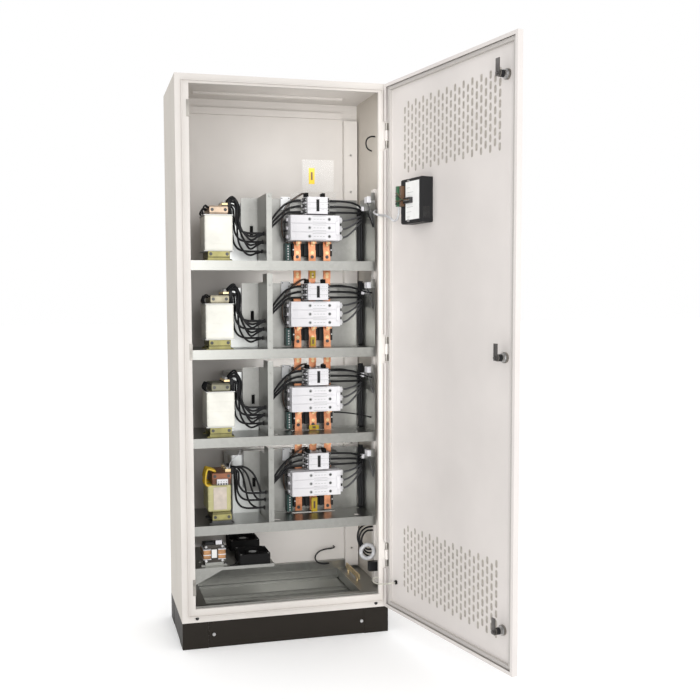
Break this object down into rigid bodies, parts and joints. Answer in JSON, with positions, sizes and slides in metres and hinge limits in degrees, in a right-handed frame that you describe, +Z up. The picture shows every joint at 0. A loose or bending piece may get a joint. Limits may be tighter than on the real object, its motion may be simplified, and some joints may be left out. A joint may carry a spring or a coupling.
{
  "type": "power factor correction cabinet",
  "caption": "Free-standing electrical cabinet with an open vented door, reactor and contactor racks, copper bars, fans and a door controller.",
  "frame": {"origin": "on the floor, at the centre of the plinth and of its four floor fixing holes", "axes": "+Z up, +X to the right of a person facing the open front, -Y out of the front; the door is stored open, 101.8 degrees from closed"},
  "size_m": [0.9613, 1.1843, 2.1],
  "materials": {
    "cabinet_paint": "fine textured light grey powder coat",
    "plinth_paint": "dark brown-grey powder coat",
    "galvanised": "zinc coated sheet",
    "hinge_steel": "zinc alloy, satin",
    "bright_steel": "zinc plated",
    "seal_rubber": "foamed sealing strip",
    "copper": "bare copper bar",
    "brass_terminal": "tinned brass",
    "black_plastic": "moulded",
    "white_plastic": "moulded",
    "key_plastic": "moulded",
    "coil_resin": "varnished winding wrap",
    "core_lacquer": "varnished steel laminations",
    "transformer_lacquer": "varnished laminations and copper windings",
    "capacitor_case": "plain can",
    "black_cable": "sheathed cable",
    "grey_cable": "sheathed cable",
    "earth_cable": "green and yellow sheath",
    "clear_sheet": "clear polycarbonate"
  },
  "bodies": {
    "cabinet": {"bar_holders": "black_plastic", "base_frame": "galvanised", "busbars": "copper", "cabinet_screws": "bright_steel", "cable_rings": "bright_steel", "capacitors": "capacitor_case", "clear_shield": "clear_sheet", "contactor_bodies": "white_plastic", "control_cable": "grey_cable", "control_transformer": "transformer_lacquer", "earth_bar": "brass_terminal", "earth_lead": "earth_cable", "fan_frames": "black_plastic", "front_frame": "cabinet_paint", "fuse_bases": "white_plastic", "fuse_cables": "grey_cable", "gland_plates": "galvanised", "hinge_brackets": "hinge_steel", "hinge_pins": "bright_steel", "lock_keepers": "hinge_steel", "lower_shelf": "galvanised", "mounting_plates": "galvanised", "plinth_corners": "plinth_paint", "plinth_covers": "plinth_paint", "power_cables": "black_cable", "rack_partitions": "galvanised", "rack_trays": "galvanised", "rack_uprights": "cabinet_paint", "reactor_coils": "coil_resin", "reactor_cores": "core_lacquer", "reactor_terminals": "brass_terminal", "rear_panel": "cabinet_paint", "roof_panel": "cabinet_paint", "side_walls": "cabinet_paint", "spare_cable_coil": "grey_cable", "wall_harness": "black_cable"},
    "door": {"door_panel": "cabinet_paint", "door_rim": "cabinet_paint", "door_seal": "seal_rubber", "hinge_leaves": "hinge_steel", "lock_housings": "hinge_steel", "controller_case": "black_plastic", "controller_bezel": "black_plastic"},
    "lock_1": {"lock_cam_1": "bright_steel"},
    "lock_2": {"lock_cam_2": "bright_steel"},
    "lock_3": {"lock_cam_3": "bright_steel"},
    "key_1": {"controller_key_1": "key_plastic"},
    "key_2": {"controller_key_2": "key_plastic"},
    "key_3": {"controller_key_3": "key_plastic"},
    "key_4": {"controller_key_4": "key_plastic"},
    "armature_1": {"contactor_slider_1": "black_plastic"},
    "armature_2": {"contactor_slider_2": "black_plastic"},
    "armature_3": {"contactor_slider_3": "black_plastic"},
    "armature_4": {"contactor_slider_4": "black_plastic"},
    "lid_1": {"fuse_lid_1": "white_plastic"},
    "lid_2": {"fuse_lid_2": "white_plastic"},
    "lid_3": {"fuse_lid_3": "white_plastic"},
    "lid_4": {"fuse_lid_4": "white_plastic"},
    "rotor_1": {"fan_rotor_1": "black_plastic"},
    "rotor_2": {"fan_rotor_2": "black_plastic"}
  },
  "joints": [
    {"name": "door_hinge", "type": "hinge", "parent": "cabinet", "child": "door", "pos_m": [0.39, -0.214, 1.1], "axis": [0, 0, 1], "range_deg": [-101.8, 18.2], "deforming": ["control_cable", "earth_lead"]},
    {"name": "lock_turn_1", "type": "hinge", "parent": "door", "child": "lock_1", "pos_m": [0.52251, -0.91675, 1.978], "axis": [0.9789, 0.2045, 0], "range_deg": [0, 90]},
    {"name": "lock_turn_2", "type": "hinge", "parent": "door", "child": "lock_2", "pos_m": [0.52251, -0.91675, 1.105], "axis": [0.9789, 0.2045, 0], "range_deg": [0, 90]},
    {"name": "lock_turn_3", "type": "hinge", "parent": "door", "child": "lock_3", "pos_m": [0.52251, -0.91675, 0.232], "axis": [0.9789, 0.2045, 0], "range_deg": [0, 90]},
    {"name": "key_press_1", "type": "slide", "parent": "door", "child": "key_1", "axis": [-0.9789, -0.2045, 0], "range_m": [0, 0.0012], "stiffness_N_per_m": 300},
    {"name": "key_press_2", "type": "slide", "parent": "door", "child": "key_2", "axis": [-0.9789, -0.2045, 0], "range_m": [0, 0.0012], "stiffness_N_per_m": 300},
    {"name": "key_press_3", "type": "slide", "parent": "door", "child": "key_3", "axis": [-0.9789, -0.2045, 0], "range_m": [0, 0.0012], "stiffness_N_per_m": 300},
    {"name": "key_press_4", "type": "slide", "parent": "door", "child": "key_4", "axis": [-0.9789, -0.2045, 0], "range_m": [0, 0.0012], "stiffness_N_per_m": 300},
    {"name": "contactor_pull_1", "type": "slide", "parent": "cabinet", "child": "armature_1", "axis": [0, 1, 0], "range_m": [0, 0.004], "stiffness_N_per_m": 400},
    {"name": "contactor_pull_2", "type": "slide", "parent": "cabinet", "child": "armature_2", "axis": [0, 1, 0], "range_m": [0, 0.004], "stiffness_N_per_m": 400},
    {"name": "contactor_pull_3", "type": "slide", "parent": "cabinet", "child": "armature_3", "axis": [0, 1, 0], "range_m": [0, 0.004], "stiffness_N_per_m": 400},
    {"name": "contactor_pull_4", "type": "slide", "parent": "cabinet", "child": "armature_4", "axis": [0, 1, 0], "range_m": [0, 0.004], "stiffness_N_per_m": 400},
    {"name": "fuse_lid_swing_1", "type": "hinge", "parent": "cabinet", "child": "lid_1", "pos_m": [0.0445, -0.0805, 1.568], "axis": [0, 0, -1], "range_deg": [0, 70]},
    {"name": "fuse_lid_swing_2", "type": "hinge", "parent": "cabinet", "child": "lid_2", "pos_m": [0.0445, -0.0805, 1.238], "axis": [0, 0, -1], "range_deg": [0, 70]},
    {"name": "fuse_lid_swing_3", "type": "hinge", "parent": "cabinet", "child": "lid_3", "pos_m": [0.0445, -0.0805, 0.908], "axis": [0, 0, -1], "range_deg": [0, 70]},
    {"name": "fuse_lid_swing_4", "type": "hinge", "parent": "cabinet", "child": "lid_4", "pos_m": [0.0445, -0.0805, 0.578], "axis": [0, 0, -1], "range_deg": [0, 70]},
    {"name": "fan_spin_1", "type": "hinge", "parent": "cabinet", "child": "rotor_1", "pos_m": [-0.115, -0.09, 0.31], "axis": [0, 0, 1], "continuous": true},
    {"name": "fan_spin_2", "type": "hinge", "parent": "cabinet", "child": "rotor_2", "pos_m": [-0.115, 0.128, 0.31], "axis": [0, 0, 1], "continuous": true}
  ]
}
